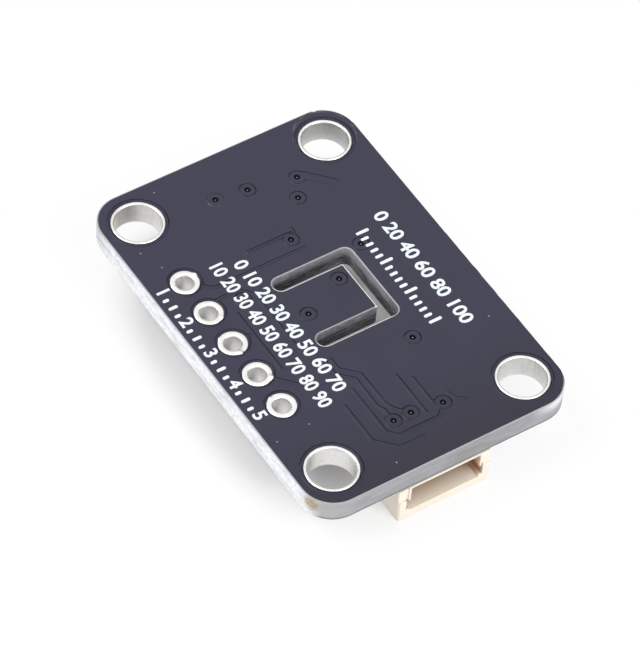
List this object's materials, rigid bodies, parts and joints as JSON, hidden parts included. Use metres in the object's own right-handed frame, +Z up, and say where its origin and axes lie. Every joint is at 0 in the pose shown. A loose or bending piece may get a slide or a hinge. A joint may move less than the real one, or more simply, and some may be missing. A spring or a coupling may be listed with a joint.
{
  "type": "temperature humidity sensor module",
  "caption": "Small sensor breakout board on two side-entry cable sockets, with plated mounting and header holes and a slotted tongue that carries the sensor chip.",
  "frame": {"origin": "centre of the footprint, on the surface that the two sockets stand on", "axes": "+X along the board's length, towards the near socket; +Y across the board, away from the header holes; +Z up, out of the printed face"},
  "size_m": [0.025, 0.0172, 0.0043],
  "materials": {
    "laminate": "pale routed fibreglass",
    "solder_mask": "satin blue-black coat",
    "tin_plating": "bright levelled tin",
    "copper": "plated copper",
    "socket_plastic": "cream moulded nylon",
    "contact_metal": "tinned phosphor bronze",
    "tab_metal": "tinned strip",
    "moulding_compound": "black moulding compound",
    "lead_metal": "tinned leads",
    "capacitor_ceramic": "tan fired ceramic",
    "resistor_coat": "black protective coat on white ceramic",
    "light_base": "white laminate",
    "light_lens": "clear cast resin",
    "sensing_film": "polymer film"
  },
  "bodies": {
    "root": {"capacitor_1_body": "capacitor_ceramic", "capacitor_1_ends": "lead_metal", "capacitor_2_body": "capacitor_ceramic", "capacitor_2_ends": "lead_metal", "capacitor_3_body": "capacitor_ceramic", "capacitor_3_ends": "lead_metal", "component_pads": "tin_plating", "far_socket_contact_1": "contact_metal", "far_socket_contact_2": "contact_metal", "far_socket_contact_3": "contact_metal", "far_socket_contact_4": "contact_metal", "far_socket_housing": "socket_plastic", "far_socket_tab_left": "tab_metal", "far_socket_tab_right": "tab_metal", "header_eyelet_1": "tin_plating", "header_eyelet_2": "tin_plating", "header_eyelet_3": "tin_plating", "header_eyelet_4": "tin_plating", "header_eyelet_5": "tin_plating", "indicator_light_base": "light_base", "indicator_light_ends": "lead_metal", "indicator_light_lens": "light_lens", "laminate": "laminate", "level_shifter_body": "moulding_compound", "level_shifter_leads": "lead_metal", "mounting_eyelet_1": "tin_plating", "mounting_eyelet_2": "tin_plating", "mounting_eyelet_3": "tin_plating", "mounting_eyelet_4": "tin_plating", "near_socket_contact_1": "contact_metal", "near_socket_contact_2": "contact_metal", "near_socket_contact_3": "contact_metal", "near_socket_contact_4": "contact_metal", "near_socket_housing": "socket_plastic", "near_socket_tab_left": "tab_metal", "near_socket_tab_right": "tab_metal", "regulator_body": "moulding_compound", "regulator_leads": "lead_metal", "resistor_1_body": "resistor_coat", "resistor_1_ends": "lead_metal", "resistor_2_body": "resistor_coat", "resistor_2_ends": "lead_metal", "resistor_3_body": "resistor_coat", "resistor_3_ends": "lead_metal", "resistor_4_body": "resistor_coat", "resistor_4_ends": "lead_metal", "resistor_5_body": "resistor_coat", "resistor_5_ends": "lead_metal", "sensing_film": "sensing_film", "sensor_chip": "moulding_compound", "sensor_terminals": "lead_metal", "solder_mask_bottom": "solder_mask", "solder_mask_top": "solder_mask", "via_barrels": "copper"}
  },
  "joints": []
}
